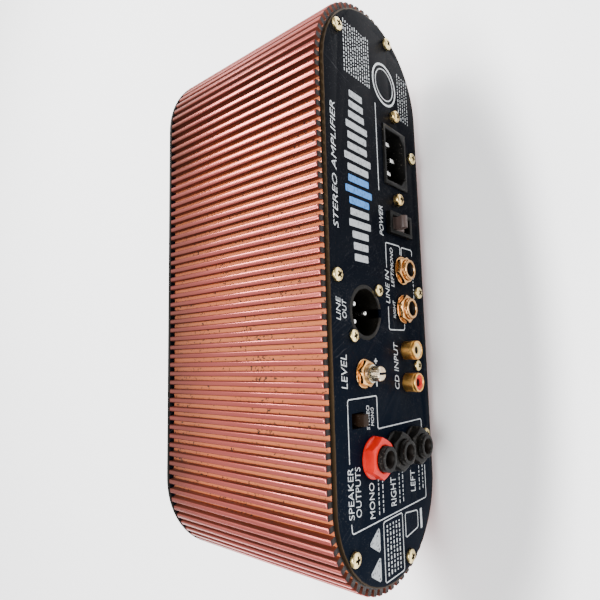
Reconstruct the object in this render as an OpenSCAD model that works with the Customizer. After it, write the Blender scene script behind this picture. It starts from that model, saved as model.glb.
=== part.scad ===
// Compact stereo instrument power amplifier: a ribbed extruded sleeve with a connector plate at
// the rear (-Y) and a control plate at the front (+Y). +Z is up, X runs along the long side.
// The origin is on the resting surface, under the middle of the sleeve. Millimetres.

/* [Enclosure] */
// Distance between the centres of the two round ends
end_spacing = 168; // [160:1:176]
// Height of the rear connector plate
rear_panel_h = 73; // [72.6:0.1:73.6]
// Thickness of the rear connector plate
rear_panel_t = 1.5; // [1:0.1:2]
// Thickness of the front control plate
front_panel_t = 2; // [1.5:0.1:3]
// Length of the extruded sleeve, front to back
sleeve_len = 94; // [92:1:110]
// Thickness of the sleeve wall under the ribs
wall_t = 2.5; // [2:0.1:3]
// How far the sleeve stands out past the edge of the rear plate, at the groove floors
floor_step = 0.6; // [0.4:0.1:1]

/* [Ribs] */
// Number of ribs on each flat side
flat_ribs = 41; // [35:1:45]
// Number of ribs round each end
end_ribs = 29; // [25:1:31]
// Height of a rib
rib_h = 2.8; // [2:0.1:3.2]
// Width of a rib
rib_w = 2.2; // [1.8:0.1:2.6]
// Chamfer on the outer corners of a rib
rib_chamfer = 0.45; // [0.2:0.05:0.7]

/* [Feet] */
// Height of a rubber foot
foot_h = 3.5; // [2:0.5:8]
// Diameter of a rubber foot
foot_d = 16; // [12:1:20]
// Distance of the feet from the middle, across and along
foot_at = [78, 32]; // [20:1:80]

/* [Plate screws] */
// Diameter of the screw shanks that hold the plates
shank_d = 3; // [2.5:0.1:3]
// Head diameter
head_d = 5.5; // [5:0.1:5.6]
// Head height
head_h = 1.9; // [1.5:0.1:2.2]
// Length of the shank
shank_len = 10; // [8:1:14]

/* [Rear connectors: across and above mid-height] */
// Mains inlet
inlet_at = [59, -15]; // [-80:0.1:80]
// Power switch
power_at = [27.2, -14.9]; // [-80:0.1:80]
// Right line jack, then left line jack
line_in_x = [-10.9, 6.6]; // [-80:0.1:80]
// Height of the line jacks
line_in_z = -16.7; // [-18:0.1:-15]
// Balanced line output
xlr_at = [-13.7, 13.4]; // [-80:0.1:80]
// Level control
level_at = [-37.9, 16.4]; // [-80:0.1:80]
// Phono pair, centre
phono_at = [-36.3, -17]; // [-80:0.1:80]
// Distance between the two phono sockets
phono_pitch = 14; // [13:0.1:16]
// Mode switch
mode_at = [-55.2, 21.6]; // [-80:0.1:80]
// Speaker jack column, centre
speaker_at = [-70.4, -3.5]; // [-80:0.1:80]
// Distance between speaker jacks
speaker_pitch = 15.4; // [14.2:0.1:15.6]

/* [Moving parts] */
// Rest tilt of the power rocker
rocker_tilt = 22; // [15:1:25]
// Travel of the mode slider
mode_travel = 3.9; // [3:0.1:4]
// Gap round a turning shaft
shaft_gap = 0.05; // [0.03:0.01:0.1]

/* [Front controls] */
// Places of the five knobs across the front, seen from the front
knob_x = [-48, -22, 4, 30, 56]; // [-90:1:90]
// Height of the knobs above mid-height
knob_z = -4; // [-10:1:10]
// Outer diameter of a knob
knob_d = 17; // [16:0.5:20]
// Height of a knob
knob_h = 14; // [12:0.5:16]
// Instrument jack across the front
instrument_x = -80; // [-84:1:-76]
// Pilot light across the front
pilot_x = 82; // [76:1:86]
// Diameter of the pilot light
pilot_d = 5; // [3:0.5:6]

/* [Hidden] */

// Faces round a true curve
$fn = 64;
panel_r = rear_panel_h / 2;
floor_r = panel_r + floor_step;
tip_r = floor_r + rib_h;
inner_r = floor_r - wall_t;
mid_z = foot_h + tip_r;
rear_face_y = -sleeve_len / 2 - rear_panel_t;
front_face_y = sleeve_len / 2 + front_panel_t;
rib_pitch = end_spacing / flat_ribs;
rib_step = 180 / end_ribs;

// Plate screws: two corners and the middle at the top, two shoulders, three along the bottom
screw_at = [[-103, 27.2], [-0.5, 32.4], [103, 27.2], [-114.2, -11.8], [114.2, -11.8],
    [-67.5, -30.4], [-2.5, -30.4], [63.5, -30.4]];
land_r = 3.3;
screw_clear = 0.2;
front_edge_step = 0.5;

// Standard connector sizes
jack_bore_d = 6.4;
inlet_screw_pitch = 40;
inlet_rim = [28, 19.5];
inlet_rim_out = 0.85;
inlet_cavity = [24, 16.4];
inlet_depth = 16;
inlet_corner = 4;
xlr_hole_d = 22.4;
xlr_barrel_d = 22.2;
xlr_cavity_d = 19;
xlr_depth = 19;
xlr_screw_half = 9.5;
xlr_pin_at = [[-3.6, 3], [3.6, 3], [0, -4.6]];

// Threaded bushings and their nuts
line_bushing_d = 8.9;
line_bushing_out = 4.8;
line_body = [15, 15, 28];
line_washer_t = 0.8;
line_nut_t = 2.2;
speaker_bushing_d = 9.8;
speaker_bushing_out = 7.6;
speaker_body = [16, 14, 30];
speaker_nut_t = 5;
pot_bushing_d = 7;
pot_body = [17, 17, 8];
pot_shaft_d = 6;

// Boards
board_t = 1.6;
board_bottom = -26.5;
board_top = board_bottom + board_t;
standoff_at = [[-80, -9], [16, -9], [80, -9], [-80, 31], [16, 31], [80, 31]];

copper = [0.80, 0.46, 0.36];
panel_black = [0.07, 0.09, 0.13];
plastic_black = [0.10, 0.10, 0.10];
brass = [0.86, 0.67, 0.36];
zinc = [0.85, 0.82, 0.68];
steel = [0.72, 0.72, 0.70];
board_green = [0.10, 0.35, 0.18];

// ---- Frames and shared shapes ----

// Local frame on the rear plate: z points out of its face, y is up
module on_rear(at) {
    translate([at[0], rear_face_y, mid_z + at[1]]) rotate([90, 0, 0]) children();
}

// Local frame on the front plate: z points out of its face, x runs to a viewer's right
module on_front(at) {
    translate([-at[0], front_face_y, mid_z + at[1]]) rotate([90, 0, 180]) children();
}

module stadium(r) {
    square([end_spacing, 2 * r], center = true);
    for (side = [-1, 1]) translate([side * end_spacing / 2, 0]) circle(r);
}

module block(size, z0) {
    translate([-size[0] / 2, -size[1] / 2, z0]) cube(size);
}

module rod(d, z0, z1) {
    translate([0, 0, z0]) cylinder(d = d, h = z1 - z0);
}

module ring(outer_d, inner_d, z0, z1) {
    difference() {
        rod(outer_d, z0, z1);
        rod(inner_d, z0 - 1, z1 + 1);
    }
}

// Hexagon nut, two corners across x
module hex_nut(across_corners, hole_d, z0, z1) {
    difference() {
        translate([0, 0, z0]) cylinder(d = across_corners, h = z1 - z0, $fn = 6);
        rod(hole_d, z0 - 1, z1 + 1);
    }
}

// Cross-recessed pan-head screw: the head stands on z = 0, the shank goes down
module pan_screw(d = head_d, h = head_h, shank = shank_d, len = shank_len) {
    dome_r = d * 0.9;
    difference() {
        union() {
            intersection() {
                rod(d, 0, h);
                translate([0, 0, h - dome_r]) sphere(dome_r);
            }
            rod(shank, -len, 0);
        }
        for (turn = [0, 90]) rotate(turn) block([d * 0.55, d * 0.14, h], h * 0.45);
    }
}

// ---- Enclosure ----

rib_points = [[-rib_w / 2, 0], [-rib_w / 2, rib_h - rib_chamfer],
    [-rib_w / 2 + rib_chamfer, rib_h], [rib_w / 2 - rib_chamfer, rib_h],
    [rib_w / 2, rib_h - rib_chamfer], [rib_w / 2, 0]];

// Each rib's root as [x of its centre line or end centre, angle it points to], clockwise
rib_roots = concat(
    [for (i = [0 : flat_ribs - 1]) [(i + 0.5) * rib_pitch - end_spacing / 2, 90]],
    [for (i = [0 : end_ribs - 1]) [end_spacing / 2, 90 - (i + 0.5) * rib_step]],
    [for (i = [0 : flat_ribs - 1]) [end_spacing / 2 - (i + 0.5) * rib_pitch, -90]],
    [for (i = [0 : end_ribs - 1]) [-end_spacing / 2, -90 - (i + 0.5) * rib_step]]);

function rib_point(root, p) = [
    root[0] + sin(root[1]) * p[0] + cos(root[1]) * (floor_r + p[1]),
    -cos(root[1]) * p[0] + sin(root[1]) * (floor_r + p[1])];

module ribbed_outline() {
    polygon([for (root = rib_roots) for (p = rib_points) rib_point(root, p)]);
}

// Screw channels along the inside of the wall
module screw_lands() {
    for (p = screw_at) translate(p) {
        circle(land_r);
        if (abs(p[0]) < end_spacing / 2)
            translate([-land_r, p[1] > 0 ? 0 : -land_r - 2]) square([2 * land_r, land_r + 2]);
    }
}

module shell() {
    color(copper) translate([0, sleeve_len / 2, mid_z]) rotate([90, 0, 0])
        linear_extrude(sleeve_len) difference() {
            ribbed_outline();
            difference() {
                stadium(inner_r);
                screw_lands();
            }
            for (p = screw_at) translate(p) circle(d = shank_d);
        }
}

module rear_panel() {
    color(panel_black) on_rear([0, 0]) translate([0, 0, -rear_panel_t])
        linear_extrude(rear_panel_t) difference() {
            stadium(panel_r);
            for (p = screw_at) translate(p) circle(d = shank_d + 2 * screw_clear);
            translate(inlet_at) square(inlet_rim + [0.2, 0.2], center = true);
            for (side = [-1, 1]) translate(inlet_at + [side * inlet_screw_pitch / 2, 0])
                circle(d = shank_d + 2 * screw_clear);
            translate(power_at) square([9.2, 17.8], center = true);
            for (x = line_in_x) translate([x, line_in_z]) circle(d = line_bushing_d + 0.3);
            translate(xlr_at) circle(d = xlr_hole_d);
            for (side = [-1, 1]) translate(xlr_at + side * [-xlr_screw_half, xlr_screw_half])
                circle(d = 2.6 + screw_clear);
            translate(level_at) circle(d = pot_bushing_d + 0.3);
            for (side = [-1, 1]) translate(phono_at + [side * phono_pitch / 2, 0])
                circle(d = 8.5);
            translate(phono_at + [0, -9.2]) circle(d = 2.6 + screw_clear);
            translate(mode_at) square([5.8, 7.8], center = true);
            for (step = [-1 : 1]) translate(speaker_at + [0, step * speaker_pitch])
                circle(d = speaker_bushing_d + 0.3);
        }
}

module front_panel() {
    color(panel_black) on_front([0, 0]) difference() {
        union() {
            translate([0, 0, -front_panel_t]) linear_extrude(front_panel_t - front_edge_step)
                stadium(tip_r);
            translate([0, 0, -front_edge_step]) linear_extrude(front_edge_step)
                stadium(tip_r - front_edge_step);
        }
        for (p = screw_at) translate([-p[0], p[1], 0])
            rod(shank_d + 2 * screw_clear, -front_panel_t - 1, 1);
        for (x = knob_x) translate([x, knob_z, 0]) rod(pot_bushing_d + 0.3, -front_panel_t - 1, 1);
        translate([instrument_x, knob_z, 0]) rod(line_bushing_d + 0.3, -front_panel_t - 1, 1);
        translate([pilot_x, knob_z, 0]) rod(pilot_d + 0.3, -front_panel_t - 1, 1);
    }
}

module rear_panel_screws() {
    color(zinc) for (p = screw_at) on_rear(p) pan_screw();
}

module front_panel_screws() {
    color(plastic_black) for (p = screw_at) on_front([-p[0], p[1]])
        pan_screw(len = shank_len + front_panel_t);
}

module rubber_feet() {
    color([0.12, 0.12, 0.12]) for (sx = [-1, 1]) for (sy = [-1, 1])
        translate([sx * foot_at[0], sy * foot_at[1], 0]) {
            cylinder(d1 = foot_d - 2, d2 = foot_d, h = foot_h - 1);
            rod(foot_d, foot_h - 1, foot_h);
        }
}

// ---- Mains inlet and switch ----

// Opening with two cut corners at the bottom
module inlet_outline() {
    w = inlet_cavity[0] / 2;
    h = inlet_cavity[1] / 2;
    polygon([[-w, h], [w, h], [w, -h + inlet_corner], [w - inlet_corner, -h],
        [-w + inlet_corner, -h], [-w, -h + inlet_corner]]);
}

inlet_blades = [[-7, 2.2], [0, -1.8], [7, 2.2]];

module inlet_body() {
    color(plastic_black) on_rear(inlet_at) difference() {
        union() {
            block([inlet_rim[0], inlet_rim[1], inlet_rim_out + rear_panel_t], -rear_panel_t);
            translate([0, 0, -rear_panel_t - 2.5]) linear_extrude(2.5) {
                square([inlet_screw_pitch, 22], center = true);
                for (side = [-1, 1]) translate([side * inlet_screw_pitch / 2, 0]) circle(5);
            }
            block([27, 19, 15], -rear_panel_t - 17.5);
        }
        translate([0, 0, inlet_rim_out - inlet_depth]) linear_extrude(inlet_depth + 1)
            inlet_outline();
        for (p = inlet_blades) translate(p) block([2, 4, 10], -rear_panel_t - 18.5);
        for (side = [-1, 1]) translate([side * inlet_screw_pitch / 2, 0, 0])
            rod(shank_d, -5, 1);
    }
}

module inlet_pins() {
    color(steel) on_rear(inlet_at) for (p = inlet_blades) translate(p)
        block([2, 4, 25], -27);
}

module inlet_screws() {
    color(brass) on_rear(inlet_at) for (side = [-1, 1])
        translate([side * inlet_screw_pitch / 2, 0, 0])
            pan_screw(d = 5.6, h = 3.2, len = 8);
}

rocker_r = 6.9;
rocker_w = 6.4;
rocker_reach = 12.5;
rocker_pivot_z = -4.5;
rocker_pin_d = 2;

module power_switch_body() {
    color(plastic_black) on_rear(power_at) difference() {
        union() {
            block([10, 19, 2.3], 0);
            block([9, 17.6, 17], -17);
        }
        block([rocker_w + 0.2, 15, 14.4], -12);
        translate([0, 0, rocker_pivot_z]) rotate([0, 90, 0])
            cylinder(d = rocker_pin_d + 2 * shaft_gap, h = 8.6, center = true);
    }
}

module power_rocker() {
    color([0.32, 0.28, 0.27]) on_rear(power_at) translate([0, 0, rocker_pivot_z]) {
        rotate([0, 90, 0]) cylinder(r = rocker_r, h = rocker_w, center = true);
        rotate([0, 90, 0]) cylinder(d = rocker_pin_d, h = 8.4, center = true);
        rotate([-rocker_tilt, 0, 0]) {
            block([5.4, 3.4, rocker_reach - 1.7], 0);
            translate([0, 0, rocker_reach - 1.7]) rotate([0, 90, 0])
                cylinder(d = 3.4, h = 5.4, center = true);
        }
    }
}

// ---- Jacks ----

module line_in_bodies() {
    color(plastic_black) for (x = line_in_x) on_rear([x, line_in_z]) difference() {
        block(line_body, -rear_panel_t - line_body[2]);
        rod(line_bushing_d, -rear_panel_t - 6, 1);
        rod(jack_bore_d, -rear_panel_t - 24, 1);
    }
}

module line_bushing() {
    color(brass) ring(line_bushing_d, jack_bore_d, -rear_panel_t - 6, line_bushing_out);
}

module line_in_bushing_right() {
    on_rear([line_in_x[0], line_in_z]) line_bushing();
}

module line_in_bushing_left() {
    on_rear([line_in_x[1], line_in_z]) line_bushing();
}

module line_in_nuts() {
    color(brass) for (x = line_in_x) on_rear([x, line_in_z])
        hex_nut(12.6, line_bushing_d, line_washer_t, line_washer_t + line_nut_t);
}

module line_in_washers() {
    color(brass) for (x = line_in_x) on_rear([x, line_in_z])
        ring(12.8, line_bushing_d + 0.3, 0, line_washer_t);
}

module speaker_jack(step) {
    color(plastic_black) on_rear(speaker_at + [0, step * speaker_pitch]) difference() {
        union() {
            block(speaker_body, -rear_panel_t - speaker_body[2]);
            rod(speaker_bushing_d, -rear_panel_t, speaker_bushing_out);
        }
        rod(jack_bore_d, -rear_panel_t - 24, speaker_bushing_out + 1);
    }
}

module speaker_jack_mono() { speaker_jack(1); }
module speaker_jack_right() { speaker_jack(0); }
module speaker_jack_left() { speaker_jack(-1); }

module speaker_nut(step) {
    on_rear(speaker_at + [0, step * speaker_pitch])
        hex_nut(16.2, speaker_bushing_d, 0, speaker_nut_t);
}

module speaker_nut_mono() {
    color([0.85, 0.12, 0.08]) speaker_nut(1);
}

module speaker_nuts() {
    color(plastic_black) for (step = [-1, 0]) speaker_nut(step);
}

// ---- Balanced output, phono pair ----

module xlr_body() {
    color(plastic_black) on_rear(xlr_at) difference() {
        union() {
            block([26, 26, 2], -rear_panel_t - 2);
            rod(xlr_barrel_d, -xlr_depth - 4, 0);
        }
        rod(xlr_cavity_d, -xlr_depth, 1);
        translate([0, -xlr_barrel_d / 2, 0]) block([3.6, 4, 7], -6);
        for (p = xlr_pin_at) translate(p) rod(2.4, -xlr_depth - 5, 0);
        for (side = [-1, 1]) translate(side * [-xlr_screw_half, xlr_screw_half])
            rod(2.6, -rear_panel_t - 3, 0);
    }
}

module xlr_pins() {
    color(steel) on_rear(xlr_at) for (p = xlr_pin_at) translate(p)
        rod(2.4, -xlr_depth - 8, -xlr_depth + 16);
}

module connector_screws() {
    color(zinc) {
        for (side = [-1, 1]) on_rear(xlr_at + side * [-xlr_screw_half, xlr_screw_half])
            pan_screw(d = 5, h = 1.5, shank = 2.6, len = 6);
        on_rear(phono_at + [0, -9.2]) pan_screw(d = 4.8, h = 1.8, shank = 2.6, len = 8);
    }
}

phono_shell_d = 8.2;
phono_root_d = 8;
phono_insert_d = 6.6;
phono_out = 6.2;

module phono_base() {
    color(plastic_black) on_rear(phono_at) difference() {
        block([26, 22, 10], -rear_panel_t - 10);
        for (side = [-1, 1]) translate([side * phono_pitch / 2, 0, 0])
            rod(phono_root_d, -rear_panel_t - 4, 0);
        translate([0, -9.2, 0]) rod(2.6, -rear_panel_t - 8, 0);
    }
}

// Each barrel steps down to a narrower root inside the plate and the base
module phono_shells() {
    color(brass) on_rear(phono_at) for (side = [-1, 1])
        translate([side * phono_pitch / 2, 0, 0]) difference() {
            union() {
                rod(phono_root_d, -rear_panel_t - 4, 0);
                rod(phono_shell_d, 0, phono_out);
            }
            rod(phono_insert_d, -rear_panel_t - 5, phono_out + 1);
        }
}

module phono_insert(side) {
    on_rear(phono_at + [side * phono_pitch / 2, 0])
        ring(phono_insert_d, 3.3, -rear_panel_t - 4, phono_out - 0.3);
}

module phono_insert_red() {
    color([0.80, 0.15, 0.15]) phono_insert(-1);
}

module phono_insert_white() {
    color([0.95, 0.92, 0.80]) phono_insert(1);
}

// ---- Level control and mode switch ----

// Potentiometer case with its threaded bushing, bored for the shaft
module pot_case(plate_t, bushing_out) {
    difference() {
        union() {
            block(pot_body, -plate_t - pot_body[2]);
            rod(pot_bushing_d, -plate_t, bushing_out);
        }
        rod(pot_shaft_d + 2 * shaft_gap, -plate_t - 6, bushing_out + 1);
    }
}

module level_pot_body() {
    color(steel) on_rear(level_at) pot_case(rear_panel_t, 4.2);
}

module level_pot_shaft() {
    color(zinc) on_rear(level_at) difference() {
        rod(pot_shaft_d, -rear_panel_t - 5.8, 8.3);
        block([1, 8, 4], 5.3);
    }
}

module level_pot_washer() {
    color(brass) on_rear(level_at) ring(11.4, pot_bushing_d + 0.3, 0, 0.5);
}

module level_pot_nut() {
    color(brass) on_rear(level_at) hex_nut(10.8, pot_bushing_d, 0.5, 2.7);
}

slider_h = 3.4;

module mode_switch_body() {
    color([0.20, 0.13, 0.09]) on_rear(mode_at) difference() {
        block([9, 20, 8], -rear_panel_t - 8);
        block([5.7, 7.6, 5], -rear_panel_t - 4.5);
    }
}

// Shown at the low end of its slot
module mode_switch_slider() {
    low_y = -3.8 + slider_h / 2 + 0.1;
    color(plastic_black) on_rear(mode_at) translate([0, low_y, 0]) {
        block([4.6, slider_h, rear_panel_t + 6.8], -rear_panel_t - 4.4);
    }
}

// ---- Front controls ----

knob_gap = 1;
knob_recess = 5.4;

// Fluted knob with a pointer notch in its top edge
module knob(i) {
    color(plastic_black) on_front([knob_x[i], knob_z]) difference() {
        union() {
            rod(knob_d, knob_gap, knob_gap + 2.5);
            rod(knob_d - 2, knob_gap + 2.5, knob_gap + knob_h);
        }
        rod(12.4, 0, knob_recess);
        rod(pot_shaft_d, 0, knob_gap + knob_h - 2);
        for (turn = [0 : 30 : 330]) rotate(turn + 15)
            translate([knob_d / 2 - 0.4, 0, 0]) rod(2.4, knob_gap + 2.5, knob_gap + knob_h + 1);
        translate([0, knob_d / 2 - 3, 0]) block([1, 5, 1], knob_gap + knob_h - 0.6);
    }
}

module knob_shaft(i) {
    color(zinc) on_front([knob_x[i], knob_z])
        rod(pot_shaft_d, -front_panel_t - 5.8, knob_gap + knob_h - 2);
}

module knob_gain() { knob(0); }
module knob_bass() { knob(1); }
module knob_mid() { knob(2); }
module knob_treble() { knob(3); }
module knob_volume() { knob(4); }
module shaft_gain() { knob_shaft(0); }
module shaft_bass() { knob_shaft(1); }
module shaft_mid() { knob_shaft(2); }
module shaft_treble() { knob_shaft(3); }
module shaft_volume() { knob_shaft(4); }

module front_pots() {
    color(steel) for (x = knob_x) on_front([x, knob_z]) pot_case(front_panel_t, 4.8);
}

module front_pot_nuts() {
    color(zinc) for (x = knob_x) on_front([x, knob_z]) hex_nut(10.8, pot_bushing_d, 0, 2);
}

module instrument_jack() {
    color(plastic_black) on_front([instrument_x, knob_z]) difference() {
        union() {
            block(line_body, -front_panel_t - line_body[2]);
            rod(line_bushing_d, -front_panel_t, line_bushing_out);
        }
        rod(jack_bore_d, -front_panel_t - 24, line_bushing_out + 1);
    }
}

module instrument_jack_nut() {
    color(zinc) on_front([instrument_x, knob_z]) hex_nut(12.6, line_bushing_d, 0, 2.4);
}

module pilot_light() {
    color([0.75, 0.10, 0.08]) on_front([pilot_x, knob_z]) {
        rod(pilot_d, -front_panel_t - 4, 0.6);
        rod(pilot_d + 1, -front_panel_t - 5, -front_panel_t);
        intersection() {
            rod(pilot_d, 0.6, 3);
            sphere(pilot_d / 2 + 0.07);
        }
    }
}

// ---- Inside ----

module main_board() {
    color(board_green) translate([0, 0, mid_z]) difference() {
        translate([-95, -14, board_bottom]) cube([190, 50, board_t]);
        for (p = standoff_at) translate([p[0], p[1], 0])
            rod(shank_d + 0.2, board_bottom - 1, board_top + 1);
    }
}

module front_board() {
    color(board_green) on_front([15, knob_z]) block([152, 36, board_t],
        -front_panel_t - pot_body[2] - board_t);
}

module board_standoffs() {
    color(steel) for (p = standoff_at) translate([p[0], p[1], mid_z])
        ring(6, shank_d, -inner_r, board_bottom);
}

module board_screws() {
    color(steel) for (p = standoff_at) translate([p[0], p[1], mid_z + board_top])
        pan_screw(len = 7);
}

transformer_at = [52, 19];
core_size = [34, 14, 26];
window_size = [7, 18];

module on_board(at) {
    translate([at[0], at[1], mid_z + board_top]) children();
}

module transformer_core() {
    color([0.25, 0.25, 0.27]) on_board(transformer_at) difference() {
        block(core_size, 0);
        for (side = [-1, 1]) translate([side * 8.5, 0, 0])
            block([window_size[0], core_size[1] + 2, window_size[1]], 4);
    }
}

module transformer_winding() {
    color([0.75, 0.55, 0.20]) on_board(transformer_at) difference() {
        block([24, 24, window_size[1]], 4);
        block([10, core_size[1], window_size[1] + 2], 3);
    }
}

module bulk_capacitors() {
    color([0.12, 0.14, 0.30]) for (x = [-8, -32]) on_board([x, 12]) rod(18, 0, 30);
}

module output_inductors() {
    color([0.70, 0.40, 0.20]) for (y = [-1, 22.5]) on_board([-60, y])
        translate([0, 0, 5.5]) rotate_extrude() translate([8, 0]) square([6, 11], center = true);
}

module heat_spreader() {
    color(steel) translate([10, -6, mid_z]) {
        translate([0, 0, inner_r - 4]) cube([72, 20, 4]);
        translate([0, 0, -22]) cube([72, 4, inner_r - 4 + 22]);
    }
}

module power_transistors() {
    color(plastic_black) for (x = [20, 38, 56, 74]) translate([x, 0.25, mid_z]) {
        block([10.2, 4.5, 15.5], -18);
        for (leg = [-1 : 1]) translate([leg * 2.54, 0, 0])
            block([0.8, 0.6, -18 - board_top], board_top);
    }
}

shell();
rear_panel();
front_panel();
rear_panel_screws();
front_panel_screws();
rubber_feet();
inlet_body();
inlet_pins();
inlet_screws();
power_switch_body();
power_rocker();
line_in_bodies();
line_in_bushing_right();
line_in_bushing_left();
line_in_nuts();
line_in_washers();
speaker_jack_mono();
speaker_jack_right();
speaker_jack_left();
speaker_nut_mono();
speaker_nuts();
xlr_body();
xlr_pins();
connector_screws();
phono_base();
phono_shells();
phono_insert_red();
phono_insert_white();
level_pot_body();
level_pot_shaft();
level_pot_nut();
level_pot_washer();
mode_switch_body();
mode_switch_slider();
knob_gain();
knob_bass();
knob_mid();
knob_treble();
knob_volume();
shaft_gain();
shaft_bass();
shaft_mid();
shaft_treble();
shaft_volume();
front_pots();
front_pot_nuts();
instrument_jack();
instrument_jack_nut();
pilot_light();
main_board();
front_board();
board_standoffs();
board_screws();
transformer_core();
transformer_winding();
bulk_capacitors();
output_inductors();
heat_spreader();
power_transistors();
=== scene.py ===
import math
import bmesh
import bpy
from mathutils import Matrix, Vector


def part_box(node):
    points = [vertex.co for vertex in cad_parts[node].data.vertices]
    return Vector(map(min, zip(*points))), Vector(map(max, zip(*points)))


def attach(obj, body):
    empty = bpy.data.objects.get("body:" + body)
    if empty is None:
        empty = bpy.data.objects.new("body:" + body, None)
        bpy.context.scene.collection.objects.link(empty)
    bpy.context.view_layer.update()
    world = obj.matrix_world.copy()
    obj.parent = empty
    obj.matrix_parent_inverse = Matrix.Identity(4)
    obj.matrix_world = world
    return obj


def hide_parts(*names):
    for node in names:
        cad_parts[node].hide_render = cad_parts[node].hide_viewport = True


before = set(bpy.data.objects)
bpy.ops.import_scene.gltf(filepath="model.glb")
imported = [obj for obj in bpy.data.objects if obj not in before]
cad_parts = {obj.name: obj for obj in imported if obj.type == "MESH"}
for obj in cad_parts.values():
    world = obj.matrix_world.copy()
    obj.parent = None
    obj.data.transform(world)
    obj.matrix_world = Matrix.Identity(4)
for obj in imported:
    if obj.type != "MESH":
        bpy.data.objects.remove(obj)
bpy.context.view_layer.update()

# ==== Studio: camera, floor and lights ====
# A close view from above the connector plate, with the camera rolled a quarter turn so that the
# ribbed top faces left and the plate faces right. A pale floor that glows, and soft lamps.

camera_at = Vector((-0.0300, -0.1564, 0.2176))
camera_look = Vector((0.1167, 0.6182, -0.7773)).normalized()
camera_up = Vector((0.9927, -0.0964, 0.0724))
camera_right = camera_look.cross(camera_up).normalized()
camera_up = camera_right.cross(camera_look)
bpy.ops.object.camera_add(location=camera_at)
camera = bpy.context.object
camera.rotation_euler = Matrix((camera_right, camera_up, -camera_look)).transposed().to_euler()
camera.data.sensor_width = 36
camera.data.lens = 29.0
camera.data.shift_x = -0.0442
camera.data.shift_y = -0.0040
bpy.context.scene.camera = camera


def new_finish(name, color, roughness, metallic=0.0, **more):
    """A material with these plain values on its shader, and its nodes."""
    finish = bpy.data.materials.new(name)
    finish.use_nodes = True
    shader = finish.node_tree.nodes["Principled BSDF"]
    plain = {"Base Color": (*color, 1), "Roughness": roughness, "Metallic": metallic, **more}
    for key, value in plain.items():
        shader.inputs[key.replace("_", " ")].default_value = value
    return finish, finish.node_tree, shader


def add(tree, kind, **settings):
    """A node of this kind; sockets are set or linked by name, other settings by attribute."""
    node = tree.nodes.new(kind)
    for key, value in settings.items():
        if not key.startswith("in_"):
            setattr(node, key, value)
    for key, value in settings.items():
        if key.startswith("in_"):
            socket = node.inputs[int(key[3:]) if key[3:].isdigit() else key[3:].replace("_", " ")]
            if isinstance(value, bpy.types.NodeSocket):
                tree.links.new(value, socket)
            else:
                socket.default_value = value
    return node


def drive(shader, **values):
    """Links these values to the shader's sockets."""
    for key, value in values.items():
        shader.id_data.links.new(value, shader.inputs[key.replace("_", " ")])


def object_place(tree):
    return add(tree, "ShaderNodeTexCoord").outputs["Object"]


def tree_of(values):
    """The node tree of the first of these values that is a socket."""
    return next(v.id_data for v in values if isinstance(v, bpy.types.NodeSocket))


def ramp(value, low, high, out_low=0.0, out_high=1.0):
    """Follows value smoothly from out_low at low to out_high at high."""
    return add(
        value.id_data, "ShaderNodeMapRange", interpolation_type="SMOOTHSTEP",
        in_0=value, in_1=low, in_2=high, in_3=out_low, in_4=out_high,
    ).outputs[0]


def numbered(values):
    return {f"in_{i}": value for i, value in enumerate(values)}


def vector_maths(operation, output, *values):
    kind = "ShaderNodeVectorMath"
    return add(tree_of(values), kind, operation=operation, **numbered(values)).outputs[output]


# The floor glows, less so in an oval before the plate: a painted shadow, which also keeps the plate's
# paint dark
bpy.ops.mesh.primitive_plane_add(size=6)
floor = bpy.context.object
floor.name = "studio_floor"
floor_paint, tree, shader = new_finish(
    "studio_floor", (0.86, 0.86, 0.87), 0.7, Emission_Color=(1, 1, 1, 1)
)
shadow_oval = add(
    tree, "ShaderNodeMapping", vector_type="TEXTURE", in_Vector=object_place(tree),
    in_Location=(-0.03, -0.065, 0), in_Scale=(0.15, 0.040, 1),
).outputs[0]
reach = vector_maths("LENGTH", "Value", shadow_oval)
drive(shader, Emission_Strength=ramp(reach, 0.70, 1.25, 0.05, 2.0))
floor.data.materials.append(floor_paint)

world = bpy.data.worlds.new("studio")
bpy.context.scene.world = world
world.use_nodes = True
sky = world.node_tree.nodes["Background"]
sky.inputs["Color"].default_value = (1, 1, 1, 1)
sky.inputs["Strength"].default_value = 0.5

for lamp_name, lamp_at, lamp_size, lamp_power in (
    ("rib_softbox", (0.42, 0.38, 0.55), 0.26, 6),
    ("plate_softbox", (-0.45, -0.70, 0.50), 0.45, 3),
    ("overhead_softbox", (-0.05, -0.12, 0.85), 0.50, 9),
):
    bpy.ops.object.light_add(type="AREA", location=lamp_at)
    lamp = bpy.context.object
    lamp.name = lamp_name
    lamp.data.size = lamp_size
    lamp.data.energy = lamp_power
    from_object = Vector(lamp_at) - Vector((0, 0, 0.04))
    lamp.rotation_euler = from_object.to_track_quat("Z", "Y").to_euler()

# ==== Ribbed sleeve ====
# An aluminium extrusion with a full-round end on each side and fine ribs along its length all
# the way round, anodised a copper pink, with painted light that makes the groove floors brighter
# and more orange than the rib tops. One rib with its share of the groove floor is shaped, copied
# round the outline and welded into one skin, then given its wall.

sleeve_low, sleeve_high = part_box("shell")
rib_height = 0.0028
wall = 0.0025
tip_radius = (sleeve_high.z - sleeve_low.z) / 2
floor_radius = tip_radius - rib_height
end_centre = sleeve_high.x - tip_radius
mid_height = (sleeve_high.z + sleeve_low.z) / 2
sleeve_half = (sleeve_high.y - sleeve_low.y) / 2
flat_ribs = 41
end_ribs = 29
flat_pitch = 2 * end_centre / flat_ribs
end_step = math.pi / end_ribs


def select_only(piece):
    bpy.ops.object.select_all(action="DESELECT")
    bpy.context.view_layer.objects.active = piece
    piece.select_set(True)


def edit(piece):
    select_only(piece)
    bpy.ops.object.mode_set(mode="EDIT")
    bpy.ops.mesh.select_all(action="SELECT")


def leave_edit():
    bpy.ops.object.mode_set(mode="OBJECT")


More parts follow.
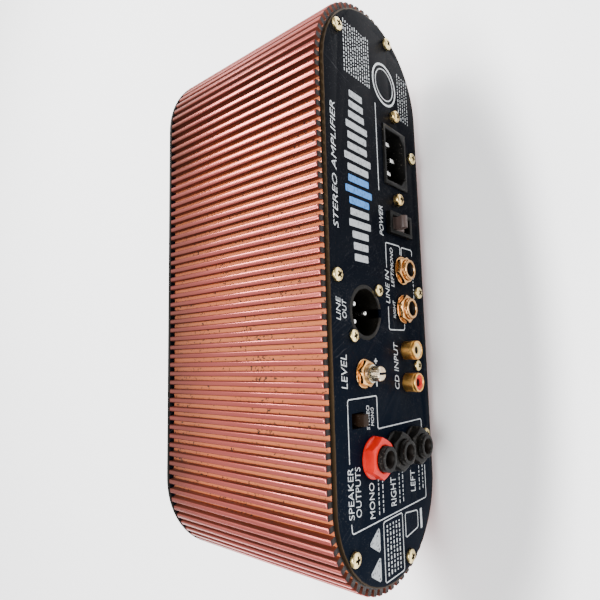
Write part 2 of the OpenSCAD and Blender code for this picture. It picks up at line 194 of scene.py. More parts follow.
def rib_segment(name, strip_edge):
    """One rib standing on a strip of groove floor, at the top of the outline. strip_edge is the
    strip's far corner, across and up."""
    rib_width = 0.0022
    bpy.ops.mesh.primitive_plane_add(size=1)
    piece = bpy.context.object
    piece.name = name
    piece.scale = (rib_width, 2 * sleeve_half, 1)
    piece.location = (0, 0, floor_radius)
    bpy.ops.object.transform_apply()
    edit(piece)
    bpy.ops.mesh.extrude_region_move(TRANSFORM_OT_translate={"value": (0, 0, rib_height)})
    bpy.ops.mesh.bevel(offset=0.0007, segments=3, profile=0.55, affect="EDGES")
    leave_edit()
    shape = bmesh.new()
    shape.from_mesh(piece.data)
    under = [f for f in shape.faces if f.calc_center_median().z < floor_radius + 1e-5]
    bmesh.ops.delete(shape, geom=under, context="FACES_ONLY")
    for side in (-1, 1):
        feet = [
            e for e in shape.edges
            if all(abs(v.co.z - floor_radius) < 1e-6 and v.co.x * side > 0 for v in e.verts)
        ]
        grown = bmesh.ops.extrude_edge_only(shape, edges=feet)["geom"]
        for v in (g for g in grown if isinstance(g, bmesh.types.BMVert)):
            v.co.x = side * strip_edge[0]
            v.co.z = strip_edge[1]
    shape.to_mesh(piece.data)
    shape.free()
    return piece


def copies(piece, places):
    """A copy of the piece, each with its own mesh, at every place. The piece itself goes."""
    made = []
    for number, place in enumerate(places):
        twin = bpy.data.objects.new(f"{piece.name}_{number}", piece.data.copy())
        twin.data.transform(place)
        bpy.context.scene.collection.objects.link(twin)
        made.append(twin)
    bpy.data.objects.remove(piece)
    return made


def joined(pieces, name):
    bpy.ops.object.select_all(action="DESELECT")
    for piece in pieces:
        piece.select_set(True)
    bpy.context.view_layer.objects.active = pieces[0]
    if len(pieces) > 1:
        bpy.ops.object.join()
    whole = bpy.context.object
    whole.name = name
    whole.data.name = name
    return whole


def towards_spine(point, radius):
    """The point moved straight in or out so that it lies that far from the sleeve's spine."""
    spine = Vector((max(-end_centre, min(end_centre, point.x)), point.y, 0))
    return spine + (point - spine).normalized() * radius


def finished(piece, body, slot, *nodes, smooth=40):
    """Shades the piece, gives it its body and hides the CAD nodes it stands for; the slot is not used.
    """
    select_only(piece)
    bpy.ops.object.shade_smooth_by_angle(angle=math.radians(smooth))
    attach(piece, body)
    if nodes:
        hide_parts(*nodes)
    return piece


half_turn = Matrix.Rotation(math.pi, 4, "Y")
flat_places = [
    Matrix.Translation(((i + 0.5) * flat_pitch - end_centre, 0, 0)) for i in range(flat_ribs)
]
end_places = [
    Matrix.Translation((end_centre, 0, 0)) @ Matrix.Rotation((i + 0.5) * end_step, 4, "Y")
    for i in range(end_ribs)
]
flat_edge = (flat_pitch / 2, floor_radius)
end_edge = (floor_radius * math.sin(end_step / 2), floor_radius * math.cos(end_step / 2))
sleeve_parts = copies(
    rib_segment("flat_rib", flat_edge), flat_places + [half_turn @ m for m in flat_places]
)
sleeve_parts += copies(
    rib_segment("end_rib", end_edge), end_places + [half_turn @ m for m in end_places]
)
sleeve = joined(sleeve_parts, "ribbed_sleeve")
edit(sleeve)
bpy.ops.mesh.remove_doubles(threshold=0.00002)
bpy.ops.mesh.select_all(action="DESELECT")
bpy.ops.mesh.select_mode(type="EDGE")
bpy.ops.mesh.select_non_manifold()
bpy.ops.mesh.extrude_edges_move(TRANSFORM_OT_translate={"value": (0, 0, 0)})
leave_edit()
for v in sleeve.data.vertices:
    if v.select:
        v.co = towards_spine(v.co, floor_radius - wall)
edit(sleeve)
bpy.ops.mesh.select_all(action="DESELECT")
bpy.ops.mesh.select_non_manifold()
bpy.ops.mesh.bridge_edge_loops()
bpy.ops.mesh.select_all(action="SELECT")
bpy.ops.mesh.normals_make_consistent(inside=False)
leave_edit()
sleeve.data.transform(Matrix.Translation((0, 0, mid_height)))
finished(sleeve, "body", "anodised_copper", "shell", smooth=35)


def dressed(piece, finish):
    piece.data.materials.clear()
    piece.data.materials.append(finish)
    return piece


def maths(operation, *values):
    kind = "ShaderNodeMath"
    return add(tree_of(values), kind, operation=operation, **numbered(values)).outputs[0]


def times(first, second):
    return maths("MULTIPLY", first, second)


def shifted(value, factor, start):
    """The value times the factor, added to the start."""
    return maths("MULTIPLY_ADD", value, factor, start)


def blend(share, first, second):
    """A color that goes from first to second as the share goes from 0 to 1."""
    first, second = ((*c, 1) if isinstance(c, tuple) else c for c in (first, second))
    return add(
        share.id_data, "ShaderNodeMix", data_type="RGBA", in_0=share, in_6=first, in_7=second
    ).outputs[2]


def shade(color, factor):
    return tuple(factor * c for c in color)


def noise(vector, scale, detail=3.0, rough=0.55):
    return add(
        vector.id_data, "ShaderNodeTexNoise", in_Vector=vector, in_Scale=scale,
        in_Detail=detail, in_Roughness=rough,
    ).outputs["Fac"]


def stretched(vector, scale):
    """Object coordinates scaled per axis, so that a pattern runs long along one of them."""
    return add(vector.id_data, "ShaderNodeMapping", in_Vector=vector, in_Scale=scale).outputs[0]


def relief(height, strength, distance):
    """A normal bumped by the height."""
    return add(
        height.id_data, "ShaderNodeBump", in_Strength=strength, in_Distance=distance,
        in_Height=height,
    ).outputs[0]


def new_group(name, **inputs):
    """An empty node group with these named inputs, each with its default, and a mask output."""
    group = bpy.data.node_groups.new(name, "ShaderNodeTree")
    for key, default in inputs.items():
        socket = group.interface.new_socket(
            key.replace("_", " "), in_out="INPUT", socket_type="NodeSocketFloat"
        )
        socket.default_value = default
    group.interface.new_socket("Mask", in_out="OUTPUT", socket_type="NodeSocketFloat")
    return group, group.nodes.new("NodeGroupInput"), group.nodes.new("NodeGroupOutput")


def group_mask(tree, group, **values):
    """The mask that this group gives with these values on its inputs."""
    settings = {f"in_{key}": value for key, value in values.items()}
    return add(tree, "ShaderNodeGroup", node_tree=group, **settings).outputs["Mask"]


# Specks of dried dirt in loose patches, used by the sleeve, the plates and the plastics
specks, specks_in, specks_out = new_group("dirt_specks", Speck_Size=900.0, Patch_Size=40.0, Amount=0.5)
place = object_place(specks)
dots = noise(place, specks_in.outputs["Speck Size"], 2.0)
patch = noise(place, specks_in.outputs["Patch Size"], 2.0)
least = shifted(specks_in.outputs["Amount"], -0.30, 0.80)
least = shifted(patch, -0.30, maths("ADD", least, 0.12))
speck_mask = ramp(maths("SUBTRACT", dots, least), 0.0, 0.05)
specks.links.new(speck_mask, specks_out.inputs["Mask"])

# The groove floors take a brighter, more orange copper tone than the rib tops, as painted light.
# Painted shade darkens the far half and the rib walls, the +x end is darker, specks of dirt mark
# the grooves; the sawn ends are black.
anodised, tree, shader = new_finish("copper_anodising", (0.8, 0.4, 0.3), 0.30, 0.9)
place = object_place(tree)
split = add(tree, "ShaderNodeSeparateXYZ", in_0=place)
across, along = split.outputs[:2]
inward = maths("MINIMUM", maths("MAXIMUM", across, -end_centre), end_centre)
spine = add(
    tree, "ShaderNodeCombineXYZ", in_0=inward, in_1=along, in_2=mid_height
).outputs[0]
outward = vector_maths("SUBTRACT", 0, place, spine)
spine_distance = vector_maths("LENGTH", "Value", outward)
outward = vector_maths("NORMALIZE", 0, outward)
facing = add(tree, "ShaderNodeNewGeometry").outputs["Normal"]
level = maths("ABSOLUTE", vector_maths("DOT_PRODUCT", "Value", facing, outward))
on_rib = ramp(spine_distance, floor_radius + 0.0004, tip_radius - 0.0003)
on_wall = ramp(level, 0.30, 0.80, 1.0, 0.0)
die_lines = noise(stretched(place, (2600, 14, 2600)), 1.0, 3.0)
cloud = noise(stretched(place, (26, 12, 26)), 1.0, 4.0)
# Painted light: the groove floors are brighter and more orange than the rib tops.
groove_tone_and_light = blend(cloud, (0.86, 0.21, 0.075), (0.92, 0.30, 0.12))
rib_tone = blend(cloud, (0.70, 0.14, 0.125), (0.80, 0.20, 0.18))
tone = blend(on_rib, groove_tone_and_light, rib_tone)
tone = blend(ramp(die_lines, 0.40, 0.75, 0.0, 0.40), tone, (0.55, 0.13, 0.08))
# Painted shade: the far half of the sleeve is darker, in patches.
far_painted_shade = times(
    ramp(along, 0.008, 0.046, 0.0, 0.70), ramp(cloud, 0.3, 0.6, 0.5, 1.0)
)
tone = blend(far_painted_shade, tone, (0.20, 0.085, 0.055))
# Darker towards the +x end, the grooves most.
end_darkening = ramp(across, 0.055, 0.112, 0.0, 0.80)
end_darkening = times(end_darkening, shifted(on_rib, -0.35, 1.0))
tone = blend(end_darkening, tone, (0.17, 0.045, 0.028))
# Painted shade and painted dark reflection on the rib walls.
wall_painted_shade = times(on_wall, ramp(cloud, 0.25, 0.65, 0.80, 0.97))
tone = blend(wall_painted_shade, tone, (0.085, 0.022, 0.012))
dirt = group_mask(tree, specks, Speck_Size=900.0, Patch_Size=38.0, Amount=0.50)
dirt = times(dirt, maths("SUBTRACT", 1.0, on_rib))
tone = blend(dirt, tone, (0.035, 0.020, 0.014))
turned_back = add(tree, "ShaderNodeSeparateXYZ", in_0=facing).outputs[1]
cut_end = ramp(maths("ABSOLUTE", turned_back), 0.70, 0.95)
tone = blend(times(cut_end, 0.95), tone, (0.006, 0.006, 0.006))
gloss = ramp(die_lines, 0.3, 0.8, 0.22, 0.40)
gloss = shifted(dirt, 0.4, shifted(on_wall, 0.25, gloss))
end_dull = ramp(across, 0.088, 0.112)
metal_share = ramp(spine_distance, floor_radius, tip_radius - 0.0004, 0.25, 0.85)
metal_share = times(metal_share, shifted(end_dull, -0.8, 1.0))
drive(
    shader, Base_Color=tone, Roughness=shifted(end_dull, 0.3, gloss),
    Metallic=times(metal_share, shifted(dirt, -0.8, 1.0)),
    Normal=relief(die_lines, 0.25, 0.00004),
)
dressed(sleeve, anodised)

# ==== Rear connector plate ====
# A punched steel plate that closes the sleeve's rear, painted blue-black, with a painted reflection
# that turns it bluer towards one end. Its sheared edge shows bare, and it has picked up fine
# scratches in use.

rear_low, rear_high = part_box("rear_panel")
rear_face = rear_low.y
plate_radius = (rear_high.z - rear_low.z) / 2
mm = 0.001


def on_rear(x, z, turn=0):
    """Frame on the rear plate, in millimetres from its middle: local z points out, local y up."""
    place = Matrix.Translation((x * mm, rear_face, mid_height + z * mm))
    place = place @ Matrix.Rotation(math.radians(90), 4, "X")
    return place @ Matrix.Rotation(math.radians(turn), 4, "Z")


def cad_copy(node, name, edge, segments=2):
    """A copy of a CAD node with its sharp edges rounded to this many millimetres."""
    twin = bpy.data.objects.new(name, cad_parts[node].data.copy())
    bpy.context.scene.collection.objects.link(twin)
    twin.data.materials.clear()
    edit(twin)
    bpy.ops.mesh.remove_doubles(threshold=0.000002)
    bpy.ops.mesh.dissolve_limited(angle_limit=math.radians(0.8))
    leave_edit()
    rounding = twin.modifiers.new("Rounded edges", "BEVEL")
    rounding.width = edge * mm
    rounding.segments = segments
    rounding.limit_method = "ANGLE"
    rounding.angle_limit = math.radians(30)
    bpy.ops.object.modifier_apply(modifier=rounding.name)
    return twin


# Fine scratches: thin bright threads where a stretched noise crosses its middle value
scuffs, scuffs_in, scuffs_out = new_group("fine_scratches")
place = object_place(scuffs)
scratches = 0.0
for turn in (0.5, 1.9, 2.8):
    turned_place = add(
        scuffs, "ShaderNodeMapping", in_Vector=place, in_Rotation=(0, turn, 0.1)
    ).outputs[0]
    long_place = stretched(turned_place, (60, 60, 4.2))
    thread = noise(long_place, 6.0, 2.0)
    thread = maths("ABSOLUTE", maths("SUBTRACT", thread, 0.5))
    where = ramp(noise(long_place, 0.9, 1.0), 0.56, 0.66)
    mark = times(ramp(thread, 0.0, 0.006, 1.0, 0.0), where)
    scratches = maths("MAXIMUM", scratches, mark)
scuffs.links.new(scratches, scuffs_out.inputs["Mask"])


def plate_finish(name, first, second, edge_color, rim):
    """Satin paint with a painted reflection that changes its tone along the plate, and a bare edge
    beyond the rim distance.
    """
    paint, tree, shader = new_finish(name, first, 0.5, IOR=1.14, Specular_IOR_Level=0.12)
    place = object_place(tree)
    split = add(tree, "ShaderNodeSeparateXYZ", in_0=place)
    across = split.outputs[0]
    # Painted reflection: the paint turns bluer towards -x.
    tone = blend(ramp(across, -0.09, 0.06), second, first)
    cloud = noise(place, 55.0, 4.0)
    tone = blend(ramp(cloud, 0.35, 0.8, 0.0, 0.30), tone, (0.005, 0.007, 0.010))
    dust = group_mask(tree, specks, Speck_Size=1500.0, Patch_Size=60.0, Amount=0.45)
    tone = blend(times(dust, 0.25), tone, (0.05, 0.05, 0.05))
    marks = group_mask(tree, scuffs)
    tone = blend(times(marks, 0.22), tone, (0.10, 0.10, 0.11))
    past_end = maths("SUBTRACT", maths("ABSOLUTE", across), end_centre)
    past_end = maths("MAXIMUM", past_end, 0.0)
    over_mid = maths("SUBTRACT", split.outputs[2], mid_height)
    reach = maths(
        "SQRT",
        maths("ADD", times(past_end, past_end), times(over_mid, over_mid)),
    )
    reach = shifted(noise(place, 420.0, 3.0), 0.0006, reach)
    bare = ramp(reach, rim - 0.0001, rim + 0.00025)
    tone = blend(bare, tone, blend(cloud, edge_color, shade(edge_color, 0.45)))
    grain = noise(place, 3200.0, 2.0)
    drive(
        shader, Base_Color=tone, Metallic=times(bare, 0.6),
        Roughness=shifted(marks, -0.12, ramp(cloud, 0.2, 0.8, 0.42, 0.55)),
        Normal=relief(shifted(marks, -0.6, grain), 0.18, 0.00003),
    )
    return paint


# The second, bluer tone is a painted reflection.
rear_paint = plate_finish(
    "plate_paint", (0.0012, 0.0017, 0.0036), (0.0013, 0.0036, 0.0090), (0.050, 0.032, 0.017),
    plate_radius - 0.0003,
)
rear_plate = dressed(cad_copy("rear_panel", "connector_plate", 0.12), rear_paint)
finished(rear_plate, "body", "panel_black", "rear_panel")

# ==== Print on the connector plate ====
# Silk-screened lettering, frames, fine print and blank triangles in grey inks, with a plain row of
# level bars, three of them blue. The ink is a thin raised skin on the paint.

ink_rise = 0.04


def ink_line(points, width=0.45):
    """A drawn line through these plate points, its corners eased, as a thin flat ribbon."""
    drawn = bpy.data.curves.new("ink_line", "CURVE")
    drawn.dimensions = "3D"
    spline = drawn.splines.new("POLY")
    eased = [Vector((*points[0], 0))]
    for before, corner, after in zip(points, points[1:], points[2:]):
        corner = Vector((*corner, 0))
        for other in (before, after):
            way = Vector((*other, 0)) - corner
            eased.append(corner + way.normalized() * min(0.7, way.length / 2))
    eased.append(Vector((*points[-1], 0)))
    spline.points.add(len(eased) - 1)
    for spot, point in zip(eased, spline.points):
        point.co = (*spot, 1)
    drawn.bevel_depth = width / 2
    drawn.bevel_resolution = 1
    drawn.use_fill_caps = True
    piece = bpy.data.objects.new("ink_line", drawn)
    bpy.context.scene.collection.objects.link(piece)
    select_only(piece)
    bpy.ops.object.convert(target="MESH")
    piece = bpy.context.object
    piece.data.transform(Matrix.Diagonal((1, 1, 2 * ink_rise / width, 1)))
    return piece


def ink_word(text, left, right, low, high, slant=0.2):
    """A word in plain capitals that fills the space between these plate coordinates."""
    bpy.ops.object.text_add()
    word = bpy.context.object
    word.data.body = text
    word.data.extrude = ink_rise
    word.data.shear = slant
    word.data.resolution_u = 3
    word.data.offset = -0.008
    bpy.ops.object.convert(target="MESH")
    word = bpy.context.object
    xs, ys, _ = zip(*word.bound_box)
    wide = (right - left) / (max(xs) - min(xs))
    tall = (high - low) / (max(ys) - min(ys))
    word.data.transform(
        Matrix.Translation((left, low, 0))
        @ Matrix.Diagonal((wide, tall, 1, 1))
        @ Matrix.Translation((-min(xs), -min(ys), 0))
    )
    return word


def fine_print(left, right, low, high, rows, thickness=0.5):
    """Rows of short strokes that read as small print from a distance."""
    strokes = []
    lengths = (1.3, 0.7, 1.7, 0.6, 1.0)
    for row in range(rows):
        z = high - (high - low) * (row + 0.5) / rows
        x = left
        count = row * 2
        while x < right - 0.8:
            length = min(lengths[count % len(lengths)], right - x)
            strokes.append(ink_line([(x, z), (x + length, z)], thickness))
            x += length + 0.75
            count += 1
    return strokes


def ink_outline(corners, width=0.45):
    """A closed frame through these corners, starting in the middle of its first side."""
    middle = ((corners[0][0] + corners[1][0]) / 2, (corners[0][1] + corners[1][1]) / 2)
    return ink_line([middle, *corners[1:], corners[0], middle], width)


def ink_bar(left, right, low, high):
    """A solid bar with eased corners."""
    bpy.ops.mesh.primitive_cube_add(size=1, location=((left + right) / 2, (low + high) / 2, 0))
    bar = bpy.context.object
    bar.scale = (right - left, high - low, 2 * ink_rise)
    bpy.ops.object.transform_apply()
    edit(bar)
    bpy.ops.mesh.select_all(action="DESELECT")
    leave_edit()
    for edge in bar.data.edges:
        first, second = (bar.data.vertices[i].co for i in edge.vertices)
        edge.select = abs(first.z - second.z) > ink_rise
    bpy.ops.object.mode_set(mode="EDIT")
    bpy.ops.mesh.select_mode(type="EDGE")
    bpy.ops.mesh.bevel(offset=0.45, segments=3, affect="EDGES")
    leave_edit()
    return bar


def ink_finish(name, color):
    ink, tree, shader = new_finish(name, color, 0.55)
    wear = noise(object_place(tree), 900.0, 3.0)
    drive(
        shader, Base_Color=blend(ramp(wear, 0.48, 0.70), color, shade(color, 0.55)),
        Roughness=ramp(wear, 0.3, 0.7, 0.5, 0.65),
    )
    return ink


def printed(pieces, name, place, ink, slot):
    """Joins printed pieces drawn in millimetres and lays them on a plate."""
    print_piece = dressed(joined(pieces, name), ink)
    print_piece.data.transform(place @ Matrix.Scale(mm, 4))
    finished(print_piece, "body", slot, smooth=20)


words = [ink_word(*word) for word in (
    ("SPEAKER", -89.7, -71.7, 26.1, 29.4),
    ("OUTPUTS", -89.7, -71.7, 21.5, 24.8),
    ("MONO", -92.8, -79.4, 12.6, 16.0),
    ("RIGHT", -92.0, -80.2, -3.4, 0.6),
    ("LEFT", -90.0, -80.6, -19.6, -15.8),
    ("STEREO", -59.6, -50.2, 13.9, 15.9),
    ("MONO", -58.4, -51.2, 10.9, 12.9),
    ("LEVEL", -43.0, -30.3, 27.6, 31.2),
    ("LINE", -17.5, -8.6, 30.4, 33.0),
    ("OUT", -16.6, -9.4, 26.7, 29.3),
    ("CD INPUT", -45.6, -25.6, -10.0, -6.6),
    ("LINE IN", -9.0, 5.6, -5.4, -2.4),
    ("RIGHT", -15.2, -7.4, -9.9, -7.9),
    ("LEFT/MONO", -1.4, 16.0, -9.6, -7.2),
    ("STEREO AMPLIFIER", 17.8, 68.6, 29.9, 32.9),
    ("POWER", 20.4, 33.6, -2.7, 0.4),
)]
thin, thick = 0.45, 0.6
lines = [ink_line(points, width) for width, points in (
    (thin, [(-70.0, 28.0), (-47.0, 28.0), (-47.0, 8.2), (-60.0, 8.2), (-60.3, -27.8), (-65.3, -28.0)]),
    (thin, [(-90.9, 28.0), (-94.5, 27.6), (-94.8, -29.0), (-80.8, -29.0)]),
    (thin, [(-10.4, -3.9), (-20.3, -3.9), (-20.3, -17.0), (-17.6, -17.2)]),
    (thin, [(6.6, -3.9), (17.8, -3.9), (17.8, -16.0), (13.9, -16.0)]),
    (thin, [(13.6, -17.2), (17.5, -17.2), (17.5, -27.0), (14.8, -27.0)]),
    (thick, [(-43.4, 7.6), (-41.2, 7.6)]),
    (thick, [(-34.4, 7.8), (-32.2, 7.8)]),
    (thick, [(-33.3, 6.7), (-33.3, 8.9)]),
    (1.6, [(-106.4, -23.4), (-98.2, -23.4)]),
    (0.5, [(40.4, -0.4), (80.7, -0.4)]),
)]
frames = [
    ink_outline([(-118.4, 7.0), (-95.9, 7.0), (-95.9, -7.5), (-118.4, -7.5)]),
    ink_outline([(-106.6, -9.8), (-96.8, -9.8), (-98.2, -20.4), (-105.2, -20.4)]),
]
small_print = (
    fine_print(-92.4, -78.8, 4.9, 11.0, 2)
    + fine_print(-91.8, -79.4, -10.5, -4.9, 2)
    + fine_print(-90.4, -79.0, -28.2, -21.8, 2)
    + fine_print(-116.6, -97.6, -5.9, 5.6, 5, 0.7)
    + fine_print(85.6, 109.5, 3.0, 23.0, 12, 0.55)
    + fine_print(80.5, 104.0, -30.6, -20.2, 5, 0.5)
    + fine_print(-9.0, 8.0, -28.2, -26.0, 1, 0.5)
)
for radius, width in ((9.6, 1.0), (7.4, 0.5)):
    turns = [math.radians(a) for a in range(0, 361, 12)]
    ring = [(92.7 + radius * math.cos(t), -8.9 + radius * math.sin(t)) for t in turns]
    frames.append(ink_line(ring, width))
pale_ink = ink_finish("pale_ink", (0.58, 0.61, 0.63))
printed(words + lines + frames + small_print, "plate_print", on_rear(0, 0), pale_ink, "cream_plastic")

triangles = []
for x in (-112.2, -101.4):
    for size, width in ((1.0, 0.8), (0.7, 1.0), (0.35, 1.6)):
        base = 12.54 - 2.34 * size
        corners = [(x - 4.35 * size, base), (x + 4.35 * size, base), (x, 12.54 + 4.26 * size)]
        triangles.append(ink_outline(corners, width))
silver_ink = ink_finish("silver_ink", (0.36, 0.38, 0.40))
printed(triangles, "plain_triangles", on_rear(0, 0), silver_ink, "cream_plastic")

bar_count = 16
pale_bars = []
blue_bars = []
for number in range(bar_count):
    swing = math.sin(math.pi * (number + 0.5) / bar_count)
    reach = 4.2 + 5.4 * swing * (0.72 + 0.28 * math.cos(number * 2.1))
    x = 6.5 + number * 4.6
    bar = ink_bar(x, x + 2.9, 15 - reach, 15 + reach)
    (blue_bars if number in (5, 6, 7) else pale_bars).append(bar)
printed(pale_bars, "level_bars", on_rear(0, 0), silver_ink, "cream_plastic")
blue_ink = ink_finish("blue_ink", (0.03, 0.20, 0.55))
printed(blue_bars, "blue_level_bars", on_rear(0, 0), blue_ink, "cream_plastic")

# ==== Screws ====
# Cross-recessed pan-head screws, yellow zinc at the rear. One head and shank is turned, its
# recess cut, and the screw is copied to each place at its own angle of turn.


def turned(profile, steps=40):
    """The piece that a lathe makes: this outline of (radius, height) turned round local z."""
    outline = bpy.data.meshes.new("turning")
    outline.from_pydata(
        [(radius, 0, height) for radius, height in profile],
        [(i, i + 1) for i in range(len(profile) - 1)],
        [],
    )
    piece = bpy.data.objects.new("turning", outline)
    bpy.context.scene.collection.objects.link(piece)
    edit(piece)
    bpy.ops.mesh.spin(steps=steps, angle=math.tau, center=(0, 0, 0), axis=(0, 0, 1))
    bpy.ops.mesh.select_all(action="SELECT")
    bpy.ops.mesh.remove_doubles(threshold=0.0005)
    bpy.ops.mesh.normals_make_consistent(inside=False)
    leave_edit()
    return piece


def turned_ring(profile, steps=40):
    """As turned, for an outline that closes on itself round a hole."""
    return turned([*profile, profile[0]], steps)


def box_piece(size, low):
    """A block of this size standing on height low."""
    bpy.ops.mesh.primitive_cube_add(size=1, location=(0, 0, low + size[2] / 2))
    block = bpy.context.object
    block.scale = size
    bpy.ops.object.transform_apply()
    return block


def combined(piece, tool, operation):
    """Cuts the tool out of the piece, or keeps what they share. The tool goes."""
    select_only(piece)
    step = piece.modifiers.new("Combined", "BOOLEAN")
    step.operation = operation
    step.solver = "EXACT"
    step.material_mode = "TRANSFER"
    step.object = tool
    bpy.ops.object.modifier_apply(modifier=step.name)
    bpy.data.objects.remove(tool)
    return piece


def eased(piece, width):
    """Rounds every edge of a block."""
    select_only(piece)
    rounding = piece.modifiers.new("Eased edges", "BEVEL")
    rounding.width = width
    rounding.segments = 2
    bpy.ops.object.modifier_apply(modifier=rounding.name)
    return piece


def hollow_shade_finish(name, color, roughness):
    """Painted shade for a dark hollow's lining, uneven in tone."""
    lining, tree, shader = new_finish(name, color, roughness, 0.2)
    cloud = noise(object_place(tree), 700.0, 3.0)
    drive(shader, Base_Color=blend(cloud, shade(color, 0.4), shade(color, 1.6)))
    return lining


# Painted shade for the screws' cross recesses, and for the bores.
recess_painted_shade = hollow_shade_finish("recess_painted_shade", (0.030, 0.018, 0.008), 0.55)
bore_shade = hollow_shade_finish("bore_shade", (0.010, 0.006, 0.004), 0.50)


def cross_screw(head, rise, shank, length, finish):
    """A pan-head screw: head diameter and height, shank diameter and length."""
    dome = [(0, rise)]
    for step in range(1, 8):
        angle = math.radians(90 * step / 7)
        dome.append((head / 2 * math.sin(angle), rise * (0.5 + 0.5 * math.cos(angle) ** 0.8)))
    dome += [
        (head / 2, 0.15), (head / 2 - 0.15, 0), (shank / 2, 0), (shank / 2, -length + 0.6),
        (shank / 2 - 0.5, -length), (0, -length),
    ]
    screw = dressed(turned(dome, 28), finish)
    for turn in (0, 90):
        slot = box_piece((head * 0.64, head * 0.20, rise), rise * 0.35)
        for v in slot.data.vertices:
            if v.co.z < rise:
                v.co.x *= 0.62
                v.co.y *= 0.75
        slot.data.transform(Matrix.Rotation(math.radians(turn), 4, "Z"))
        # The recess walls take painted shade.
        screw = combined(screw, dressed(slot, recess_painted_shade), "DIFFERENCE")
    return screw


def set_pieces(piece, places, name):
    """Copies of a piece modelled in millimetres at these places, as one object."""
    return joined(copies(piece, [place @ Matrix.Scale(mm, 4) for place in places]), name)


def fitted(piece, places, name, *rest, finish=None, smooth=40):
    """Sets the piece at these places, in this finish unless it has one, and finishes it."""
    whole = set_pieces(piece, places, name)
    if finish:
        dressed(whole, finish)
    finished(whole, *rest, smooth=smooth)


def metal_finish(name, bright, dull, roughness, tarnish):
    """Plated or polished metal, duller and browner in patches, with fine turning marks."""
    metal, tree, shader = new_finish(name, bright, roughness, 1.0)
    place = object_place(tree)
    patches = noise(place, 260.0, 4.0, 0.6)
    dirt = group_mask(tree, specks, Speck_Size=2200.0, Patch_Size=160.0, Amount=0.55)
    tone = blend(ramp(patches, 0.42, 0.72, 0.0, tarnish), bright, dull)
    gloss = ramp(patches, 0.3, 0.75, roughness * 0.8, roughness * 1.5)
    drive(
        shader, Base_Color=blend(times(dirt, 0.6), tone, (0.03, 0.02, 0.012)),
        Roughness=shifted(dirt, 0.3, gloss),
        Normal=relief(noise(place, 1400.0, 2.0), 0.15, 0.00002),
    )
    return metal


screw_spots = [
    (-103, 27.2), (-0.5, 32.4), (103, 27.2), (-114.2, -11.8), (114.2, -11.8), (-67.5, -30.4),
    (-2.5, -30.4), (63.5, -30.4),
]
shank_length = (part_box("rear_panel_screws")[1].y - rear_face) / mm
zinc = metal_finish("yellow_zinc", (0.88, 0.70, 0.32), (0.34, 0.22, 0.08), 0.24, 0.55)
fitted(
    cross_screw(5.5, 1.9, 3, shank_length, zinc),
    [on_rear(x, z, 37 * i) for i, (x, z) in enumerate(screw_spots)],
    "plate_screws", "body", "zinc_screws", "rear_panel_screws",
)

# ==== Mains inlet ====
# A moulded three-pole appliance inlet pushed through the plate from inside and held by two larger
# screws. The blades are plated brass and stand in the cavity with eased tips.


def plastic_finish(name, color, roughness, grain=2600.0, dust=0.4, bump_height=0.00003, sheen=0.5):
    """Moulded plastic with a fine spark-eroded grain, a little dust and uneven gloss."""
    plastic, tree, shader = new_finish(name, color, roughness, IOR=1.1 + 0.8 * sheen)
    place = object_place(tree)
    cloud = noise(place, 120.0, 4.0)
    dirt = group_mask(tree, specks, Speck_Size=1300.0, Patch_Size=120.0, Amount=dust)
    lighter = tuple(min(1.0, c * 1.5 + 0.001) for c in color)
    tone = blend(ramp(cloud, 0.35, 0.75, 0.0, 0.6), color, lighter)
    drive(
        shader, Base_Color=blend(times(dirt, 0.3), tone, (0.16, 0.14, 0.12)),
        Roughness=ramp(cloud, 0.3, 0.7, roughness * 0.85, roughness * 1.2),
        Normal=relief(noise(place, grain, 3.0), 0.3, bump_height),
    )
    return plastic


inlet_at = (59, -15)
black_plastic = plastic_finish("black_moulding", (0.0018, 0.0017, 0.0015), 0.42, dust=0.3, sheen=0.1)
inlet = cad_copy("inlet_body", "mains_inlet", 0.35)
finished(dressed(inlet, black_plastic), "body", "black_plastic", "inlet_body")
nickel = metal_finish("bright_nickel", (0.82, 0.82, 0.80), (0.50, 0.48, 0.44), 0.16, 0.35)
blades = cad_copy("inlet_pins", "inlet_blades", 0.4, 3)
finished(dressed(blades, nickel), "body", "contact_metal", "inlet_pins")
brass = metal_finish("worn_brass", (0.68, 0.37, 0.14), (0.33, 0.15, 0.05), 0.17, 0.7)
old_brass = metal_finish("old_brass", (0.80, 0.56, 0.22), (0.38, 0.22, 0.08), 0.24, 0.6)
fitted(
    cross_screw(5.6, 3.2, 3, 8, old_brass),
    [on_rear(inlet_at[0] + side * 20, inlet_at[1], 30 + 25 * side) for side in (-1, 1)],
    "inlet_fixing_screws", "body", "brass", "inlet_screws",
)

# ==== Power switch ====
# A snap-in rocker switch with a narrow lever. The bezel clips over the plate, and the lever is part
# of a drum that rocks on two small pins.

bezel = cad_copy("power_switch_body", "switch_bezel", 0.45, 3)
finished(dressed(bezel, black_plastic), "body", "black_plastic", "power_switch_body")
warm_grey = plastic_finish("warm_grey_moulding", (0.050, 0.034, 0.030), 0.38, sheen=0.3)
lever = cad_copy("power_rocker", "power_switch_lever", 0.3, 3)
finished(dressed(lever, warm_grey), "power_lever", "grey_plastic", "power_rocker")

# ==== Line input jacks ====
# Two quarter-inch jacks. Each brass bushing is threaded, comes through the plate and carries a
# washer and a chamfered hexagon nut.


def threads(radius, start, end, pitch=0.6, depth=0.22):
    """Outline points of a screw thread running from height start to height end."""
    points = []
    for i in range(int(abs(end - start) / pitch)):
        height = start + math.copysign(i * pitch, end - start)
        points.append((radius, height))
        points.append((radius - depth, height + math.copysign(pitch / 2, end - start)))
    return points


def lined(piece, finish, radius, lip):
    """Gives the piece its finish, and paints shade into the bore within this radius and below the lip.
    """
    dressed(piece, finish)
    piece.data.materials.append(bore_shade)
    for face in piece.data.polygons:
        if math.hypot(face.center.x, face.center.y) < radius and face.center.z < lip:
            face.material_index = 1
    return piece


jack_bore = 3.2


